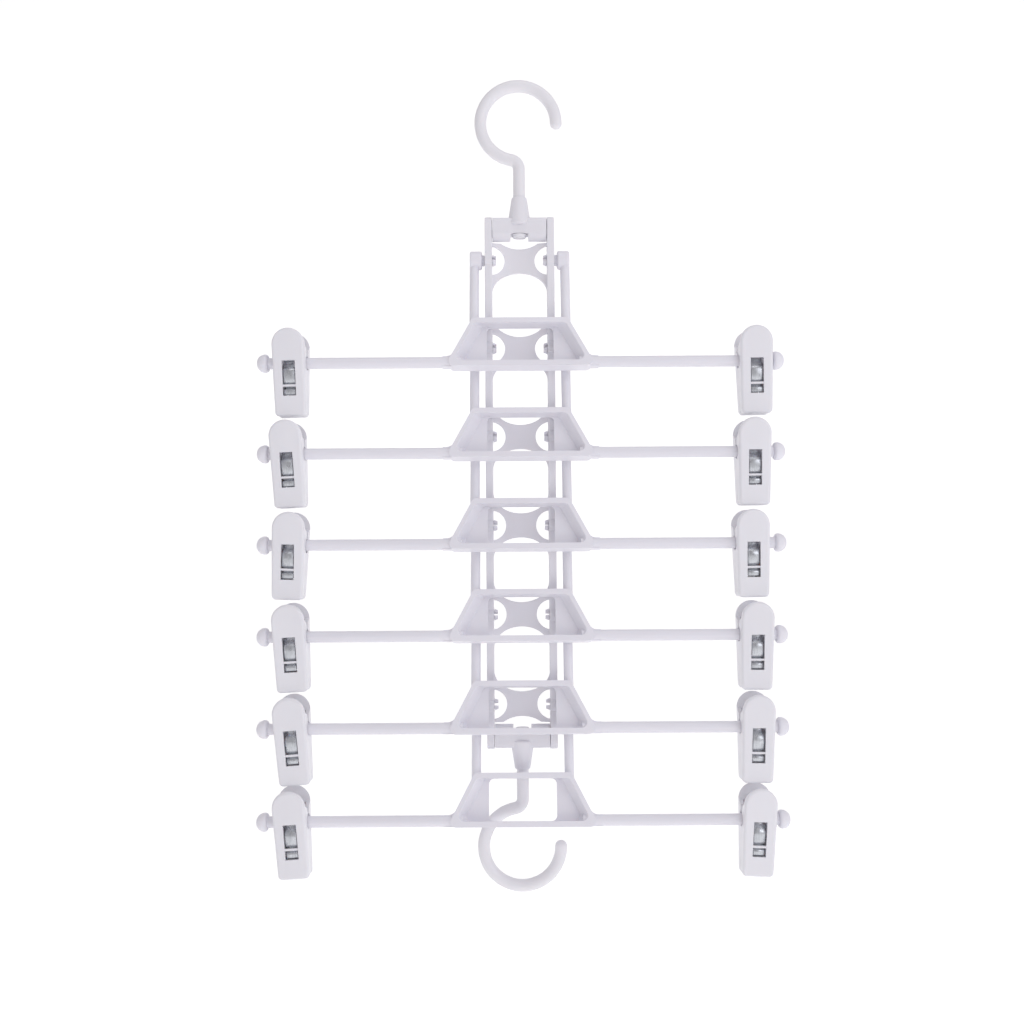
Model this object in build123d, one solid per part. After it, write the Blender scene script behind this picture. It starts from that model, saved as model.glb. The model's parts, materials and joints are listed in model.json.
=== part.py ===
from build123d import *
from math import asin, cos, degrees, radians, sin
import os

# Clip drying hanger. Millimetres, +Z up, front = -Y.
# Origin: on the swivel axis of the upper hook, where its crown rests on a rail.

# ---- driving dimensions ----
TIERS = 6
PITCH = 58.7  # between tier pivots
ROD_HALF = 170.0  # middle of the hanger to the end of a rod
ROD_DROP = 73.2  # tier pivot to rod axis, along the arms
REST_TILT = 14.0  # degrees that a resting tier leans forward of the ladder

# hook
WIRE_R = 4.0
RING_R = 25.2  # centreline
RING_X = -0.4  # ring centre beside the swivel axis
RING_Z = 74.2  # yoke pivot to ring centre
RING_TIP = 0.0  # degrees above level at which the ring ends
BEND_R = 6.2  # bend between ring and shank
STEP = 0.01  # keeps solids that are joined from only just touching

# ladder
LADDER_HALF = 23.0  # outer face of a rail
RAIL_T = 4.8
RAIL_D = 11.0
RAIL_END = 10.8  # rail beyond the yoke pivot
YOKE_GAP = 18.2  # yoke pivot to the nearest tier pivot
PLATE_T = 2.4
PLATE_WAIST = 16.0
PLATE_ARCH = 14.0  # height of the arched window ends
PLATE_BOW = 2.6  # how far the plate's middle is set back
PLATE_BITE_R = 9.8  # round bite around each snap pin
PLATE_BITE_X = 19.8
PIVOT_DISC_R = 6.7
EDGE = 0.6  # usual moulded edge radius

# yoke
TRUNNION_R = 2.5
YOKE_UP = 9.6  # bar above its pivot
YOKE_DOWN = 5.4  # bar below its pivot
YOKE_SIDE_GAP = 0.3
YOKE_SWEEP = 1.2  # room below the bar as it turns
HUB_LOW = 4.6  # foot of the hub, in front of and behind the bar
HUB_TOP = 23.6
HUB_BASE_R = 8.0
HUB_TIP_R = 5.1
HUB_ROUND = 1.2
BAR_ROUND = 2.0
NOTCH_HALF = 5.9  # gap in the bar that shows the end of the shank
NOTCH_ROOF = -1.0
RUNNING = 0.07  # radial play of every hinge pin

# hook's retaining head, inside the yoke's notch
HEAD_R = 5.3
HEAD_T = 1.8
HEAD_TAPER = 1.2
HEAD_PLAY = 0.3
SPLIT = 2.0  # slot in a snap head

# tier
ARM_X = 30.0
ARM_R = 3.1
KNOB_IN = 24.9
KNOB_OUT = 33.0
KNOB_R = 6.15
KNOB_ROUND = 1.3
COLLAR_R = 3.6
COLLAR_GAP = 0.3
PIN_R = 3.0
SNAP_R = 3.9
SNAP_IN = 15.6
FRAME_T = 3.6  # bracket rim seen from the front
FRAME_D = 9.5  # bracket rim from front to back
FRAME_TOP_HALF = 31.0
FRAME_LOW_HALF = 48.4
FRAME_ABOVE = 29.6  # bracket above the rod axis
FRAME_BELOW = 4.0
FRAME_SIDE = 3.2  # sloping rim, measured level
FRAME_CORNER = 3.5
FRAME_DRAFT = 5.0  # how far the recess narrows, at each sloping side, from rim to web
WEB_T = 2.0
WINDOW_HALF = 21.8
ROOT_FLARE = 6.0  # fillet above the rod where it leaves the bracket
ROOT_T = 4.6
ROOT_REACH = 2.0  # flare beyond the foot of the bracket
ROD_R = 3.65
ROD_ROOT = 38.0
STOP_R = 5.95
STOP_LENGTH = 7.6
STOP_FACE_R = 0.6  # flat left at the end of a stop
STOP_BACK_ROUND = 2.0

# clip, about the rod axis
CLIP_TOP = 21.3
CLIP_LOW = 35.0
CLIP_TOP_HALF = 10.5
CLIP_LOW_HALF = 9.9
CLIP_LOW_CORNER = 2.8
CLIP_ROUND = 1.8  # outer edge of a jaw
JAW_DEEP = 14.0  # more than a jaw is from front to back
JAW_GAP = 0.15  # from the clip's middle plane to each jaw
JAW_LIP = 6.4  # outer face from the middle plane, at the foot
THUMB_Y = 10.3
THUMB_T = 2.6
JAW_SKIN = 2.2
JAW_WALL = 1.9
WALL_TOP = 8.5
THUMB_RISE = 2.5  # run-out from the side wall to the back of the thumb tab
OPENING = 14.0  # degrees that each jaw turns
SADDLE_R = 4.7  # room for the rod in the side walls
POCKET_LOW = -24.0
SLOT_HALF = 4.2
SLOT_TOP = 0.6
SLOT_LOW = -21.8
SLOT_BAR = -14.7
SLOT_BAR_H = 1.3
SLOT_BAR_SET = 0.5  # crossbar behind the outer face
TOOTH = 0.7
TOOTH_PITCH = 2.2
TEETH = 4

# flat steel spring over the rod
SPRING_T = 0.7
SPRING_HALF = 3.6
SPRING_LOOP_R = 4.45
SPRING_LEG = (
    (-4.45, 0.0),
    (-4.9, -2.0),
    (-7.4, -6.0),
    (-7.1, -10.5),
    (-6.4, -13.0),
    (-5.2, -14.6),
    (-5.1, -16.8),
    (-6.2, -18.4),
    (-5.8, -21.2),
)  # (Y, Z) of the front leg

# where each clip sits on its rod, and how far it hangs askew (degrees, foot towards +X)
CLIP_X = {
    "left": (-148.0, -149.5, -148.3, -147.8, -147.0, -147.1),
    "right": (150.8, 149.0, 147.2, 149.1, 149.0, 149.1),
}
CLIP_LEAN = {
    "left": (1.4, 3.1, -2.0, 3.1, 4.2, 3.7),
    "right": (0.9, 0.1, 0.7, -0.6, -0.9, -2.3),
}

# ---- levels worked out from them ----
TOP_YOKE_Z = -(RING_R - WIRE_R) - RING_Z
FIRST_PIVOT_Z = TOP_YOKE_Z - YOKE_GAP
LAST_PIVOT_Z = FIRST_PIVOT_Z - PITCH * (TIERS - 1)
LOW_YOKE_Z = LAST_PIVOT_Z - YOKE_GAP
RAIL_IN = LADDER_HALF - RAIL_T
PIVOTS = [FIRST_PIVOT_Z - PITCH * i for i in range(TIERS)]


def rod_x(radius, low, high):
    """A round bar along X from low to high."""
    return Pos(low, 0, 0) * Rot(0, 90, 0) * Cylinder(
        radius, high - low, align=(Align.CENTER, Align.CENTER, Align.MIN)
    )


def block(x, y, z):
    """A box given by its (low, high) along each axis."""
    size = [high - low for low, high in (x, y, z)]
    middle = [(high + low) / 2 for low, high in (x, y, z)]
    return Pos(*middle) * Box(*size)


def slab(face, thickness):
    """A face drawn in X and Z, thickened evenly either side of Y = 0."""
    return Rot(90, 0, 0) * extrude(face, thickness / 2, both=True)


def rail():
    """One side of the ladder, with round ends and a bored disc at each tier pivot."""
    middle = (TOP_YOKE_Z + LOW_YOKE_Z) / 2
    reach = TOP_YOKE_Z + RAIL_END - middle
    body = block((RAIL_IN, LADDER_HALF), (-RAIL_D / 2, RAIL_D / 2), (middle - reach, middle + reach))
    body = fillet(body.edges().filter_by(Axis.X), RAIL_D / 2 - STEP)
    body = fillet(body.edges().filter_by(Axis.Z), EDGE)
    for z in PIVOTS:
        body += Pos(0, 0, z) * rod_x(PIVOT_DISC_R, RAIL_IN, LADDER_HALF)
    for z in PIVOTS:
        body -= Pos(0, 0, z) * rod_x(PIN_R + RUNNING, 0, LADDER_HALF + 1)
    return body


def bridge_plate():
    """The X-shaped plate that joins the rails at a tier pivot, bowed back, about its own centre."""
    half = PLATE_WAIST / 2 + PLATE_ARCH
    outline = Rectangle(2 * (RAIL_IN + STEP), 2 * half)
    for side in (-1, 1):
        outline -= Pos(0, side * half) * Ellipse(RAIL_IN, PLATE_ARCH)
        outline -= Pos(side * PLATE_BITE_X, 0) * Circle(PLATE_BITE_R)
    bow_r = (RAIL_IN**2 + PLATE_BOW**2) / (2 * PLATE_BOW)
    centre_y = PLATE_BOW - bow_r
    shell = Cylinder(bow_r + PLATE_T / 2, 2 * half) - Cylinder(bow_r - PLATE_T / 2, 2 * half)
    return slab(outline, RAIL_D) & (Pos(0, centre_y, 0) * shell)


def ladder_frame():
    """Two rails joined by a bridge plate at every tier."""
    side = rail()
    body = side + mirror(side, Plane.YZ)
    for z in PIVOTS:
        body += Pos(0, 0, z) * bridge_plate()
    swing = YOKE_DOWN + YOKE_SWEEP
    for z, way in ((TOP_YOKE_Z, 1), (LOW_YOKE_Z, -1)):
        room = block((-RAIL_IN, RAIL_IN), (-RAIL_D, RAIL_D), sorted((-way * swing, way * YOKE_GAP)))
        body -= Pos(0, 0, z) * room
        body -= Pos(0, 0, z) * rod_x(TRUNNION_R + RUNNING, -LADDER_HALF - 1, LADDER_HALF + 1)
    return body


def yoke():
    """Tee-shaped bar hinged between the rail ends, with the hub that the hook turns in."""
    half = RAIL_IN - YOKE_SIDE_GAP
    depth = RAIL_D / 2 - STEP
    bar = block((-half, half), (-depth, depth), (0, YOKE_UP))
    bar = fillet(bar.edges().filter_by(Axis.X).group_by(Axis.Z)[-1], BAR_ROUND)
    bar += rod_x(YOKE_DOWN, -half, half)
    hub = Pos(0, 0, HUB_LOW) * Cone(
        HUB_BASE_R, HUB_TIP_R, HUB_TOP - HUB_LOW, align=(Align.CENTER, Align.CENTER, Align.MIN)
    )
    hub = fillet(hub.edges().group_by(Axis.Z)[-1], EDGE)
    hub = fillet(hub.edges().group_by(Axis.Z)[0], HUB_ROUND)
    pins = rod_x(TRUNNION_R, -LADDER_HALF, LADDER_HALF)
    bar = bar + hub + pins
    notch = block((-NOTCH_HALF, NOTCH_HALF), (-RAIL_D, RAIL_D), (-RAIL_D, NOTCH_ROOF))
    bore = Cylinder(WIRE_R + RUNNING, 2 * HUB_TOP + 2)
    return bar - notch - bore


def hook():
    """Open ring, bend and shank in one round wire, about the yoke pivot."""
    droop = asin((BEND_R + RING_X) / (RING_R + BEND_R))
    ring_end = 270 - degrees(droop)
    ring = CenterArc((RING_X, RING_Z), RING_R, RING_TIP, ring_end - RING_TIP)
    bend_z = RING_Z - (RING_R + BEND_R) * cos(droop)
    bend = CenterArc((-BEND_R, bend_z), BEND_R, 0, 90 - degrees(droop))
    shank_end = NOTCH_ROOF - HEAD_PLAY
    shank = Line((0, bend_z), (0, shank_end))
    path = Plane.XZ * Wire([ring, bend, shank])
    start = path @ 0
    body = Cylinder(WIRE_R, bend_z - shank_end, align=(Align.CENTER, Align.CENTER, Align.MIN))
    body = Pos(0, 0, shank_end) * body
    for arc in (ring, bend):
        line = Plane.XZ * arc
        body += sweep(Plane(line @ 0, z_dir=line % 0) * Circle(WIRE_R), path=line)
    body += Pos(*start) * Sphere(WIRE_R)
    head = Cone(HEAD_R - HEAD_TAPER, HEAD_R, HEAD_T, align=(Align.CENTER, Align.CENTER, Align.MAX))
    body += Pos(0, 0, shank_end) * head
    slot = block((-HEAD_R, HEAD_R), (-SPLIT / 2, SPLIT / 2), (shank_end - HEAD_T, shank_end - STEP))
    return body - slot


def trapezoid(top_half, low_half, top, low):
    """Symmetric four-sided face in X and Z with rounded corners."""
    points = [(-top_half, top), (top_half, top), (low_half, low), (-low_half, low)]
    face = make_face(Polyline(*points, close=True))
    return fillet(face.vertices(), FRAME_CORNER)


def bracket():
    """Trapezoid tray, drawn about the rod axis: a rim, drafted sides and a rear web with a window."""
    outline = trapezoid(FRAME_TOP_HALF, FRAME_LOW_HALF, FRAME_ABOVE, -FRAME_BELOW)
    top = FRAME_ABOVE - FRAME_T
    low = FRAME_T - FRAME_BELOW
    slope = (FRAME_LOW_HALF - FRAME_TOP_HALF) / (FRAME_ABOVE + FRAME_BELOW)
    top_half = FRAME_TOP_HALF + slope * FRAME_T - FRAME_SIDE
    low_half = FRAME_LOW_HALF - slope * FRAME_T - FRAME_SIDE
    mouth = trapezoid(top_half, low_half, top, low)
    floor = trapezoid(top_half - FRAME_DRAFT, low_half - FRAME_DRAFT, top, low)
    web_y = FRAME_D / 2 - WEB_T
    recess = loft(
        [
            Pos(0, -FRAME_D / 2 - STEP, 0) * Rot(90, 0, 0) * mouth,
            Pos(0, web_y, 0) * Rot(90, 0, 0) * floor,
        ]
    )
    window = Pos(0, (top + low) / 2) * RectangleRounded(2 * WINDOW_HALF, top - low, FRAME_CORNER)
    body = slab(outline, FRAME_D) - recess - slab(window, 2 * FRAME_D)
    return body + rod_root(outline)


def rod_root(outline):
    """Flare that blends each rod into the lower corners of the bracket."""
    reach = FRAME_LOW_HALF + 2 * ROOT_FLARE
    face = outline + Rectangle(2 * reach, 2 * ROD_R)
    inside = [v for v in face.vertices() if abs(v.Y - ROD_R) < STEP and abs(v.X) < reach - 1]
    face = fillet(inside, ROOT_FLARE)
    far = FRAME_LOW_HALF + ROOT_REACH
    near = FRAME_LOW_HALF - ROOT_FLARE
    keep = Rectangle(2 * far, 4 * ROOT_FLARE) - Rectangle(2 * near, 4 * ROOT_FLARE)
    return slab(face & keep, ROOT_T)


def half_tier():
    """Right half of a tier: pivot pin, knob, arm, rod and end stop, about the pivot."""
    knob = rod_x(KNOB_R, KNOB_IN, KNOB_OUT)
    knob = fillet(knob.edges(), KNOB_ROUND)
    collar = rod_x(COLLAR_R, LADDER_HALF + COLLAR_GAP, KNOB_IN + 1)
    pin = rod_x(PIN_R, RAIL_IN - 1, LADDER_HALF + 1)
    snap = Pos(SNAP_IN, 0, 0) * Rot(0, 90, 0) * Cone(
        PIN_R, SNAP_R, RAIL_IN - YOKE_SIDE_GAP - SNAP_IN, align=(Align.CENTER, Align.CENTER, Align.MIN)
    )
    split = block((SNAP_IN - 1, RAIL_IN + 2), (-SNAP_R, SNAP_R), (-SPLIT / 2, SPLIT / 2))
    arm = Pos(ARM_X, 0, 0) * Cylinder(
        ARM_R, ROD_DROP - FRAME_ABOVE + FRAME_T, align=(Align.CENTER, Align.CENTER, Align.MAX)
    )
    rod = rod_x(ROD_R, ROD_ROOT, ROD_HALF - STOP_R)
    stop = rod_x(STOP_R, ROD_HALF - STOP_LENGTH, ROD_HALF)
    stop = fillet(stop.edges().group_by(Axis.X)[-1], STOP_R - STOP_FACE_R)
    stop = fillet(stop.edges().group_by(Axis.X)[0], STOP_BACK_ROUND)
    return knob + collar + (pin + snap - split) + arm + Pos(0, 0, -ROD_DROP) * (rod + stop)


def tier():
    """One U-shaped tier hanging straight down from its pivot axis."""
    half = half_tier()
    return half + mirror(half, Plane.YZ) + Pos(0, 0, -ROD_DROP) * bracket()


def jaw_outline():
    """Front view of a jaw: arched thumb end, slight taper, rounded foot."""
    arch_z = CLIP_TOP - CLIP_TOP_HALF
    sides = [
        (-CLIP_TOP_HALF, arch_z),
        (-CLIP_LOW_HALF, -CLIP_LOW),
        (CLIP_LOW_HALF, -CLIP_LOW),
        (CLIP_TOP_HALF, arch_z),
    ]
    arch = ThreePointArc(sides[3], (0, CLIP_TOP), sides[0])
    face = make_face(Polyline(*sides) + arch)
    return fillet(face.vertices().group_by(Axis.Y)[0], CLIP_LOW_CORNER)


def outer_face_y(z):
    """Y of a jaw's flat outer face at height z."""
    tip_y = THUMB_Y + THUMB_T / 2
    return -(JAW_LIP + (tip_y - JAW_LIP) * (z + CLIP_LOW) / (CLIP_TOP + CLIP_LOW))


def inner_side():
    """Side view (Y, Z) of the room a front jaw fills, open beyond its outer face and ends."""
    wall_y = JAW_GAP + WALL_TOP * sin(radians(OPENING + 1))
    rise_z = WALL_TOP + THUMB_RISE
    line = [
        (-JAW_GAP, -2 * CLIP_LOW),
        (-JAW_GAP, 0),
        (-wall_y, WALL_TOP),
        (outer_face_y(rise_z) + THUMB_T, rise_z),
        (outer_face_y(2 * CLIP_TOP) + THUMB_T, 2 * CLIP_TOP),
        (-2 * JAW_DEEP, 2 * CLIP_TOP),
        (-2 * JAW_DEEP, -2 * CLIP_LOW),
    ]
    return make_face(Polyline(*line, close=True))


def rounded_sheet():
    """The jaw's front view drawn on its outer face, thickened inwards, with a rounded outer edge."""
    origin = Vector(0, outer_face_y(0), 0)
    up = Vector(0, outer_face_y(1), 1) - origin
    plane = Plane(origin=origin, x_dir=(1, 0, 0), z_dir=Vector(1, 0, 0).cross(up))
    sheet = extrude(plane * jaw_outline(), -JAW_DEEP)
    rim = [e for e in sheet.edges() if abs((e.center() - origin).dot(plane.z_dir)) < STEP]
    return fillet(rim, CLIP_ROUND)


def along_x(face, half):
    """A side view drawn as (Y, Z), thickened evenly either side of X = 0."""
    return Plane.YZ * extrude(face, half, both=True)


def jaw():
    """Front jaw of a clip, closed, about the rod axis."""
    body = rounded_sheet() & along_x(inner_side(), 2 * CLIP_TOP_HALF)
    pocket_half = CLIP_LOW_HALF - JAW_WALL
    pocket_top = WALL_TOP + 2
    pocket = make_face(
        Polyline(
            (STEP, POCKET_LOW),
            (outer_face_y(POCKET_LOW) + JAW_SKIN, POCKET_LOW),
            (outer_face_y(pocket_top) + JAW_SKIN, pocket_top),
            (STEP, pocket_top),
            close=True,
        )
    )
    body -= along_x(pocket, pocket_half)
    body -= rod_x(SADDLE_R, -CLIP_TOP_HALF - 1, CLIP_TOP_HALF + 1)
    window = block((-SLOT_HALF, SLOT_HALF), (-2 * JAW_DEEP, -JAW_GAP), (SLOT_LOW, SLOT_TOP))
    bar_y = (outer_face_y(SLOT_BAR) + SLOT_BAR_SET, outer_face_y(SLOT_BAR) + JAW_SKIN)
    window -= block((-SLOT_HALF - 1, SLOT_HALF + 1), bar_y, (SLOT_BAR - SLOT_BAR_H, SLOT_BAR))
    body -= window
    for i in range(TEETH):
        z = -CLIP_LOW + TOOTH_PITCH * (i + 1)
        groove = Rot(45, 0, 0) * Box(4 * CLIP_TOP_HALF, TOOTH, TOOTH)
        body -= Pos(0, -JAW_GAP, z) * groove
    return body


def spring():
    """Flat steel spring: a loop over the rod and two legs that press the jaws shut."""
    inner = SPRING_LOOP_R - SPRING_T / 2
    outer = SPRING_LOOP_R + SPRING_T / 2
    runs = [Line(a, b) for a, b in zip(SPRING_LEG, SPRING_LEG[1:])]
    faces = [make_face(offset(run, SPRING_T / 2, kind=Kind.ARC)) for run in runs]
    leg = faces[0] + faces[1:]
    both = leg + mirror(leg, Plane.YZ)
    ring = Circle(outer) - Circle(inner)
    ring &= Pos(0, outer / 2) * Rectangle(2 * outer, outer)
    return along_x(both + ring, SPRING_HALF)


def clip_place(side, row):
    """Where a clip sits: on its rod, upright, leaning a little to one side."""
    tilt = radians(REST_TILT)
    y = -ROD_DROP * sin(tilt)
    z = PIVOTS[row] - ROD_DROP * cos(tilt)
    return Pos(CLIP_X[side][row], y, z) * Rot(0, -CLIP_LEAN[side][row], 0)


def main():
    os.makedirs("parts", exist_ok=True)
    out = {"ladder_frame": ladder_frame()}
    top_yoke = yoke()
    top_hook = hook()
    over = Rot(180, 0, 0)
    out["top_yoke"] = Pos(0, 0, TOP_YOKE_Z) * top_yoke
    out["top_hook"] = Pos(0, 0, TOP_YOKE_Z) * top_hook
    out["bottom_yoke"] = Pos(0, 0, LOW_YOKE_Z) * over * top_yoke
    out["bottom_hook"] = Pos(0, 0, LOW_YOKE_Z) * over * top_hook
    one_tier = tier()
    one_jaw = jaw()
    one_spring = spring()
    for row in range(TIERS):
        number = row + 1
        out[f"tier_{number}"] = Pos(0, 0, PIVOTS[row]) * Rot(-REST_TILT, 0, 0) * one_tier
        for side in ("left", "right"):
            place = clip_place(side, row)
            out[f"front_jaw_{side}_{number}"] = place * one_jaw
            out[f"rear_jaw_{side}_{number}"] = place * Rot(0, 0, 180) * one_jaw
            out[f"spring_{side}_{number}"] = place * one_spring
    for name, shape in out.items():
        export_step(shape, f"parts/{name}.step")


if __name__ == "__main__":
    main()
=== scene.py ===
import bpy
import json
from math import atan2, cos, pi, radians, sin
from mathutils import Euler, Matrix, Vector


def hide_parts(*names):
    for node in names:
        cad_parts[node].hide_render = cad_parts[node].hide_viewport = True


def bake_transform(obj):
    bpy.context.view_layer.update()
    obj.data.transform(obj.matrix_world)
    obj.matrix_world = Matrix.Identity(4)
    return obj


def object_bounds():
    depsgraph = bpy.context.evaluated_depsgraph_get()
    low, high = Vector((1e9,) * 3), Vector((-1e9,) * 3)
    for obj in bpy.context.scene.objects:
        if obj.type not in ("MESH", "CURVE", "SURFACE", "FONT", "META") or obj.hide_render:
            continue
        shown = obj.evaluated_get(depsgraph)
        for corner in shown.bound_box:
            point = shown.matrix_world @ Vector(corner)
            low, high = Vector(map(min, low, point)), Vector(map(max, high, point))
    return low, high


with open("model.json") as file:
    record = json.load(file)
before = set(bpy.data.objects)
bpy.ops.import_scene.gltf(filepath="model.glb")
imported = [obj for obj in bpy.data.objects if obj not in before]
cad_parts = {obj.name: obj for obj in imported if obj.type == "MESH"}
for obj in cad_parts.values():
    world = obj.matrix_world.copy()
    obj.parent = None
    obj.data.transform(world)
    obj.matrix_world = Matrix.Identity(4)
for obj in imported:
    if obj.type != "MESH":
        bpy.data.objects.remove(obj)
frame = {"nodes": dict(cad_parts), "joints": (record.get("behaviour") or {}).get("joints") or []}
cad_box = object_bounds()
low, high = (Vector(corner) for corner in cad_box)
middle = (low + high) / 2
nodes = frame["nodes"]
joints = {j["name"]: j for j in frame["joints"]}
scene = bpy.context.scene

# ---------------------------------------------------------------- sizes (metres)
EYE_DISTANCE = 0.675  # from the ladder's middle plane
EYE_SIDE = -0.0060
EYE_BELOW_MIDDLE = 0.0416  # below the middle of the object's height
EYE_PITCH = 1.79  # degrees upwards
EYE_ROLL = -0.35  # degrees
LENS = 35.95  # mm
SENSOR = 36.0  # mm

JAW_EDGE = 0.0005  # radii of the moulded edges
FRAME_EDGE = 0.0004
HOOK_EDGE = 0.0003
EDGE_SEGMENTS = 2
SHARP_FROM = 40  # degrees between faces

ROWS = range(1, 7)
SPRING_T = 0.0007
SPRING_HALF = 0.0036  # half of the strip's width
SPRING_LOOP_R = 0.00445
SPRING_LEG = (  # (Y, Z) from the rod's axis, down the front leg
    (-SPRING_LOOP_R, 0.0),
    (-0.0049, -0.002),
    (-0.0073, -0.006),
    (-0.0071, -0.0105),
    (-0.0063, -0.013),
    (-0.0052, -0.0146),
    (-0.0051, -0.0168),
    (-0.0062, -0.0184),
    (-0.0058, -0.0212),
)
LEG_LEAD_Z = 0.0012  # height of the point on the loop that steers the leg's first curve
LEG_STEPS = 4  # stretches in each curve of the leg
LOOP_STEPS = 14  # stretches in a quarter loop
STRIP_NOSE = 0.28  # of the thickness: half the flat on the strip's long edges

FLOOR_DROP = 0.30  # below the object
STAGE_HALF = 4.0
STAGE_NEAR = -3.0
WALL_Y = 2.2
WALL_RISE = 3.2
WALL_BEND = 0.8  # radius between the floor and the wall
WALL_STEPS = 16
STAGE_GLOW = 0.385

# Each light's place from the object's middle, then size (m), power (W) and colour.
COOL = (0.94, 0.955, 1.0)
LIGHTS = {
    "key": ((1.05, -1.35, 0.5), 1.0, 5.0, COOL),
    "edge": ((1.55, -0.75, 0.5), 1.0, 2.1, COOL),
    "fill": ((-1.3, -1.3, 0.1), 1.4, 0.4, (0.97, 0.97, 1.0)),
    "top": ((0.1, -0.5, 1.6), 1.2, 5.2, (1.0, 1.0, 1.0)),
}
SKY_COLOUR = (1.0, 0.97, 0.99, 1)
SKY_POWER = 0.52

# ---------------------------------------------------------------- plastics and steel
WHITE = (0.79, 0.78, 0.83)
HOOK_WHITE = (0.80, 0.79, 0.83)
TIER_WHITE = (0.79, 0.78, 0.84)
CLIP_WHITE = (0.79, 0.785, 0.83)
ALONG_LADDER = (1, 1, 0.25)  # how fine the flow marks are along X, Y and Z
ALONG_HOOK = (1, 1, 0.4)
ALONG_TIER = (0.2, 1, 1)
FLOW_SHADE = 0.965  # colour of the flow marks, of the plastic's own
FLOW_SCALE = 38
SCUFF_SCALE = 260
GRAIN_SCALE = 2600
GRAIN_DEPTH = 0.0002
SINK_DEPTH = 0.0006  # of the shallow waves that the flow marks leave
SINK_STRENGTH = 0.10
PLASTIC_IOR = 1.49
SCATTER = (0.0022, 0.0018, 0.0016)

STEEL_DARK = (0.43, 0.45, 0.48, 1)
STEEL_LIGHT = (0.66, 0.68, 0.71, 1)
ROLLING_SCALE = 900
ALONG_STRIP = (6, 1, 0.15)
SPOT_SCALE = 500
SCRATCH_DEPTH = 0.0001


# ---------------------------------------------------------------- node helpers
def node(tree, kind, **values):
    """A shader node with its input values set by name."""
    made = tree.nodes.new(kind)
    for name, value in values.items():
        made.inputs[name].default_value = value
    return made


def link(tree, source, out, target, into):
    tree.links.new(source.outputs[out], target.inputs[into])


def noise(tree, scale, detail, stretch=(1, 1, 1)):
    """Noise in object space, finer along the axes with a larger stretch."""
    where = node(tree, "ShaderNodeTexCoord")
    mapping = node(tree, "ShaderNodeMapping", Scale=stretch)
    link(tree, where, "Object", mapping, "Vector")
    cloud = node(tree, "ShaderNodeTexNoise", Scale=scale, Detail=detail)
    link(tree, mapping, "Vector", cloud, "Vector")
    return cloud


def ramp(tree, source, starts, ends, first, last):
    """Turns noise into a blend of two colours: first up to starts, last from ends on."""
    made = node(tree, "ShaderNodeValToRGB")
    stops = made.color_ramp.elements
    stops[0].position = starts
    stops[1].position = ends
    stops[0].color = first
    stops[1].color = last
    link(tree, source, "Fac", made, "Fac")
    return made


def grey(value):
    return (value, value, value, 1)


def new_material(name):
    """A material with its node tree and main shader."""
    material = bpy.data.materials.new(name)
    material.use_nodes = True
    tree = material.node_tree
    return material, tree, tree.nodes["Principled BSDF"]


def moulded_plastic(name, colour, roughness=0.42, grain=0.04, flow=ALONG_LADDER):
    """Satin moulded polypropylene: faint flow marks, fine grain, scuffed gloss."""
    material, tree, shader = new_material(name)
    marks = noise(tree, FLOW_SCALE, 4, flow)
    darker = tuple(c * FLOW_SHADE for c in colour) + (1,)
    tone = ramp(tree, marks, 0.32, 0.68, darker, colour + (1,))
    link(tree, tone, "Color", shader, "Base Color")
    scuffs = noise(tree, SCUFF_SCALE, 6, flow)
    polished, scuffed = grey(roughness - 0.07), grey(roughness + 0.09)
    gloss = ramp(tree, scuffs, 0.30, 0.74, polished, scuffed)
    link(tree, gloss, "Color", shader, "Roughness")
    fine = noise(tree, GRAIN_SCALE, 3)
    skin = node(tree, "ShaderNodeBump", Strength=grain, Distance=GRAIN_DEPTH)
    link(tree, fine, "Fac", skin, "Height")
    sink = node(tree, "ShaderNodeBump", Strength=SINK_STRENGTH, Distance=SINK_DEPTH)
    link(tree, marks, "Fac", sink, "Height")
    link(tree, skin, "Normal", sink, "Normal")
    link(tree, sink, "Normal", shader, "Normal")
    shader.inputs["IOR"].default_value = PLASTIC_IOR
    shader.inputs["Subsurface Weight"].default_value = 0.12
    shader.inputs["Subsurface Radius"].default_value = SCATTER
    shader.inputs["Subsurface Scale"].default_value = 1.0
    return material


def spring_steel():
    """Zinc-plated strip, with rolling lines along it and small dull spots."""
    material, tree, shader = new_material("spring_steel")
    shader.inputs["Metallic"].default_value = 1.0
    lines = noise(tree, ROLLING_SCALE, 3, ALONG_STRIP)
    tone = ramp(tree, lines, 0.3, 0.7, STEEL_DARK, STEEL_LIGHT)
    link(tree, tone, "Color", shader, "Base Color")
    spots = noise(tree, SPOT_SCALE, 5)
    gloss = ramp(tree, spots, 0.35, 0.7, grey(0.24), grey(0.46))
    link(tree, gloss, "Color", shader, "Roughness")
    scratch = node(tree, "ShaderNodeBump", Strength=0.12, Distance=SCRATCH_DEPTH)
    link(tree, lines, "Fac", scratch, "Height")
    link(tree, scratch, "Normal", shader, "Normal")
    return material


def clothe(obj, material):
    """Gives an object one material in all its slots."""
    if obj.data.materials:
        for i in range(len(obj.data.materials)):
            obj.data.materials[i] = material
    else:
        obj.data.materials.append(material)


def soften(obj, width):
    """A small moulded radius on every sharp edge of a carried-over part."""
    bevel = obj.modifiers.new("moulded_edges", "BEVEL")
    bevel.width = width
    bevel.segments = EDGE_SEGMENTS
    bevel.limit_method = "ANGLE"
    bevel.angle_limit = radians(SHARP_FROM)
    obj.modifiers.new("even_normals", "WEIGHTED_NORMAL")


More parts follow.
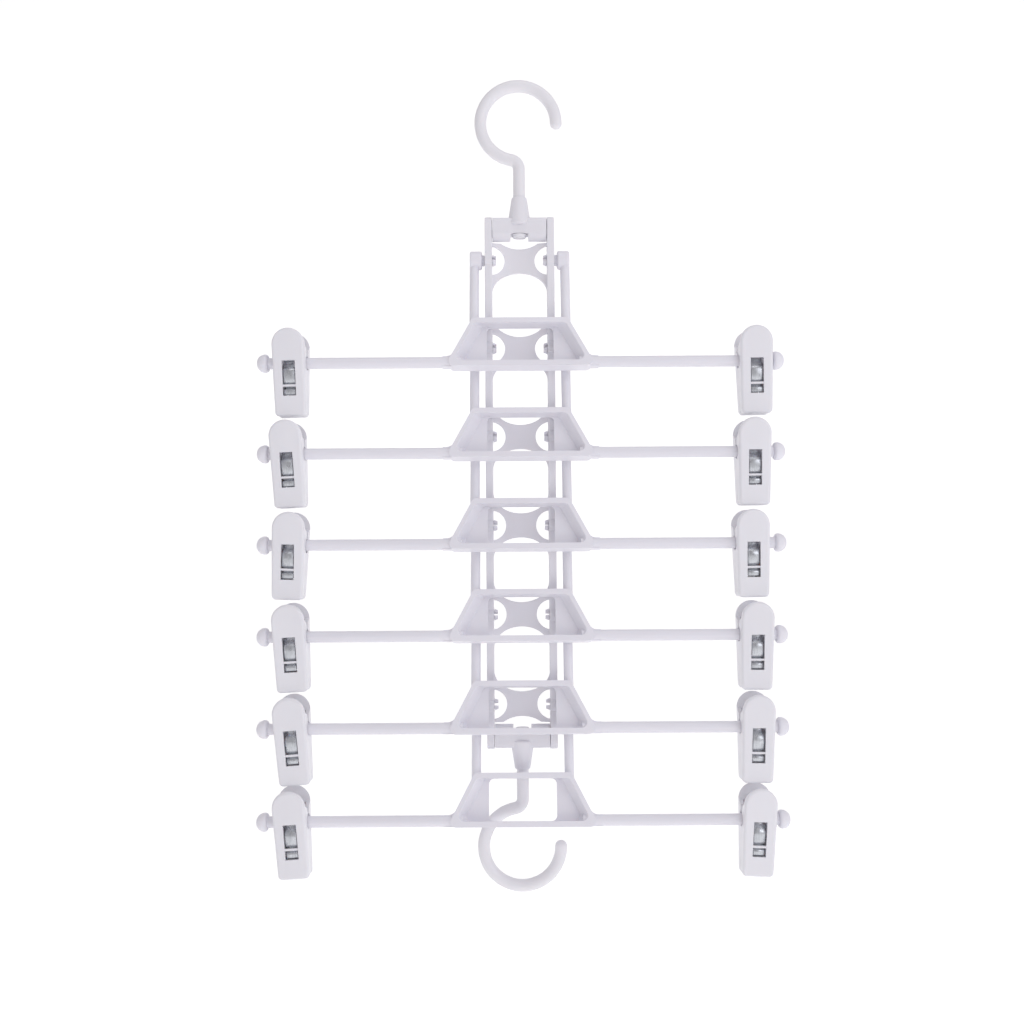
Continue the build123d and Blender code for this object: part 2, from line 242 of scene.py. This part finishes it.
# ---------------------------------------------------------------- carried-over parts
frame_plastic = moulded_plastic("frame_plastic", WHITE)
hook_plastic = moulded_plastic("hook_plastic", HOOK_WHITE, roughness=0.36, flow=ALONG_HOOK)
tier_plastic = moulded_plastic("tier_plastic", TIER_WHITE, flow=ALONG_TIER)
clip_plastic = moulded_plastic("clip_plastic", CLIP_WHITE, roughness=0.38, grain=0.05)
steel = spring_steel()

for name, obj in nodes.items():
    if name.startswith("spring"):
        continue  # build_springs() replaces these
    if "jaw" in name:
        clothe(obj, clip_plastic)
        soften(obj, JAW_EDGE)
    elif "hook" in name:
        clothe(obj, hook_plastic)
        soften(obj, HOOK_EDGE)
    elif name.startswith("tier"):
        clothe(obj, tier_plastic)
        soften(obj, FRAME_EDGE)
    else:
        clothe(obj, frame_plastic)
        soften(obj, FRAME_EDGE)


# ---------------------------------------------------------------- springs
def arc(radius, start, end, steps):
    """Points (Y, Z) of an arc about the rod, in degrees from +Y towards +Z."""
    angles = [radians(start + (end - start) * i / steps) for i in range(steps + 1)]
    return [(radius * cos(a), radius * sin(a)) for a in angles]


def spline(a, b, c, d, t):
    """Point between b and c on the smooth curve through a, b, c and d."""
    bend = (2 * a - 5 * b + 4 * c - d) * t * t + (3 * b - a - 3 * c + d) * t * t * t
    return (2 * b + (c - a) * t + bend) / 2


def leg_path():
    """Half of a spring: a quarter loop over the rod, then the front leg in smooth curves."""
    path = arc(SPRING_LOOP_R, 90, 180, LOOP_STEPS)
    knots = [(-SPRING_LOOP_R, LEG_LEAD_Z)] + list(SPRING_LEG)
    foot, above = knots[-1], knots[-2]
    knots.append((2 * foot[0] - above[0], 2 * foot[1] - above[1]))
    for a, b, c, d in zip(knots, knots[1:], knots[2:], knots[3:]):
        for i in range(1, LEG_STEPS + 1):
            t = i / LEG_STEPS
            path.append(tuple(spline(a[k], b[k], c[k], d[k], t) for k in (0, 1)))
    return path


def strip_mesh(name, path, half, thickness, place):
    """A flat strip that follows path (Y, Z), with rounded long edges, placed by a matrix."""
    side = thickness * 0.5
    nose = thickness * STRIP_NOSE
    section = [
        (-half, -nose), (-half, nose), (-half + nose, side), (half - nose, side),
        (half, nose), (half, -nose), (half - nose, -side), (-half + nose, -side),
    ]
    verts = []
    for i, (y, z) in enumerate(path):
        before = path[max(i - 1, 0)]
        after = path[min(i + 1, len(path) - 1)]
        angle = atan2(after[1] - before[1], after[0] - before[0])
        out_y, out_z = -sin(angle), cos(angle)
        for x, t in section:
            verts.append(place @ Vector((x, y + out_y * t, z + out_z * t)))
    count = len(section)
    faces = []
    for start in range(0, len(verts) - count, count):
        for k in range(count):
            a = start + k
            b = start + (k + 1) % count
            faces.append((a, b, b + count, a + count))
    faces.append(tuple(range(count - 1, -1, -1)))
    faces.append(tuple(range(len(verts) - count, len(verts))))
    mesh = bpy.data.meshes.new(name)
    mesh.from_pydata(verts, [], faces)
    mesh.update()
    for face in mesh.polygons:
        face.use_smooth = len(face.vertices) == 4
    return mesh


def show(name, data):
    """A new object in the scene."""
    obj = bpy.data.objects.new(name, data)
    scene.collection.objects.link(obj)
    return obj


def clip_matrix(side, row):
    """The clip's own frame: its origin is on the rod, and X lies along the jaws' hinge."""
    hinge = joints[f"rear_jaw_{side}_{row}_pinch"]
    axis = Vector(hinge["axis"])
    lean = atan2(axis.z, axis.x)
    turn = Euler((0, -lean, 0)).to_matrix().to_4x4()
    turn.translation = Vector(hinge["pos_m"])
    return turn


def build_springs():
    """Each spring is two half strips, front and rear, that meet over the rod."""
    half_path = leg_path()
    for side in ("left", "right"):
        for row in ROWS:
            place = clip_matrix(side, row)
            for end, way in (("front", 1), ("rear", -1)):
                path = [(way * y, z) for y, z in half_path]
                name = f"spring_{end}_leg_{side}_{row}"
                strip = show(name, strip_mesh(name, path, SPRING_HALF, SPRING_T, place))
                clothe(strip, steel)
                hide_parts(f"spring_{side}_{row}")
                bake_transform(strip)


build_springs()


# ---------------------------------------------------------------- stage, light and camera
def stage_material():
    """A pale matt surface that also glows a little, so that the background stays white."""
    material, _, shader = new_material("stage_white")
    shader.inputs["Base Color"].default_value = grey(0.92)
    shader.inputs["Roughness"].default_value = 0.9
    shader.inputs["Emission Color"].default_value = grey(1.0)
    shader.inputs["Emission Strength"].default_value = STAGE_GLOW
    return material


def build_stage():
    """A pale floor that curves up into a pale wall well behind the object."""
    floor_z = low.z - FLOOR_DROP
    bend_y = WALL_Y - WALL_BEND
    profile = [(STAGE_NEAR, floor_z), (bend_y, floor_z)]
    for i in range(1, WALL_STEPS + 1):
        a = pi / 2 * i / WALL_STEPS
        profile.append((bend_y + WALL_BEND * sin(a), floor_z + WALL_BEND * (1 - cos(a))))
    profile.append((WALL_Y, floor_z + WALL_RISE))
    verts = [(x, y, z) for y, z in profile for x in (-STAGE_HALF, STAGE_HALF)]
    faces = [(2 * i, 2 * i + 1, 2 * i + 3, 2 * i + 2) for i in range(len(profile) - 1)]
    mesh = bpy.data.meshes.new("stage")
    mesh.from_pydata(verts, [], faces)
    for face in mesh.polygons:
        face.use_smooth = True
    obj = show("stage", mesh)
    clothe(obj, stage_material())


def area_light(name, offset, size, power, colour):
    """A square soft light at an offset from the object's middle, which it faces."""
    data = bpy.data.lights.new(name, "AREA")
    data.size = size
    data.energy = power
    data.color = colour
    obj = show(name, data)
    obj.location = middle + Vector(offset)
    obj.rotation_euler = (-Vector(offset)).to_track_quat("-Z", "Y").to_euler()


def build_lights():
    """Soft key from the front right, an edge light further round, a fill and a top light."""
    for name, values in LIGHTS.items():
        area_light(name, *values)
    world = bpy.data.worlds.new("studio")
    world.use_nodes = True
    sky = world.node_tree.nodes["Background"]
    sky.inputs["Color"].default_value = SKY_COLOUR
    sky.inputs["Strength"].default_value = SKY_POWER
    scene.world = world


def build_camera():
    """Level with the lower half of the hanger, a little below its middle, looking slightly up."""
    data = bpy.data.cameras.new("camera")
    data.lens = LENS
    data.sensor_width = SENSOR
    obj = show("camera", data)
    obj.location = (EYE_SIDE, -EYE_DISTANCE, middle.z - EYE_BELOW_MIDDLE)
    look = Euler((radians(90 + EYE_PITCH), 0, 0)).to_matrix()
    roll = Euler((0, 0, radians(EYE_ROLL))).to_matrix()
    obj.rotation_euler = (look @ roll).to_euler()
    scene.camera = obj


build_stage()
build_lights()
build_camera()
scene.view_settings.view_transform = "Standard"
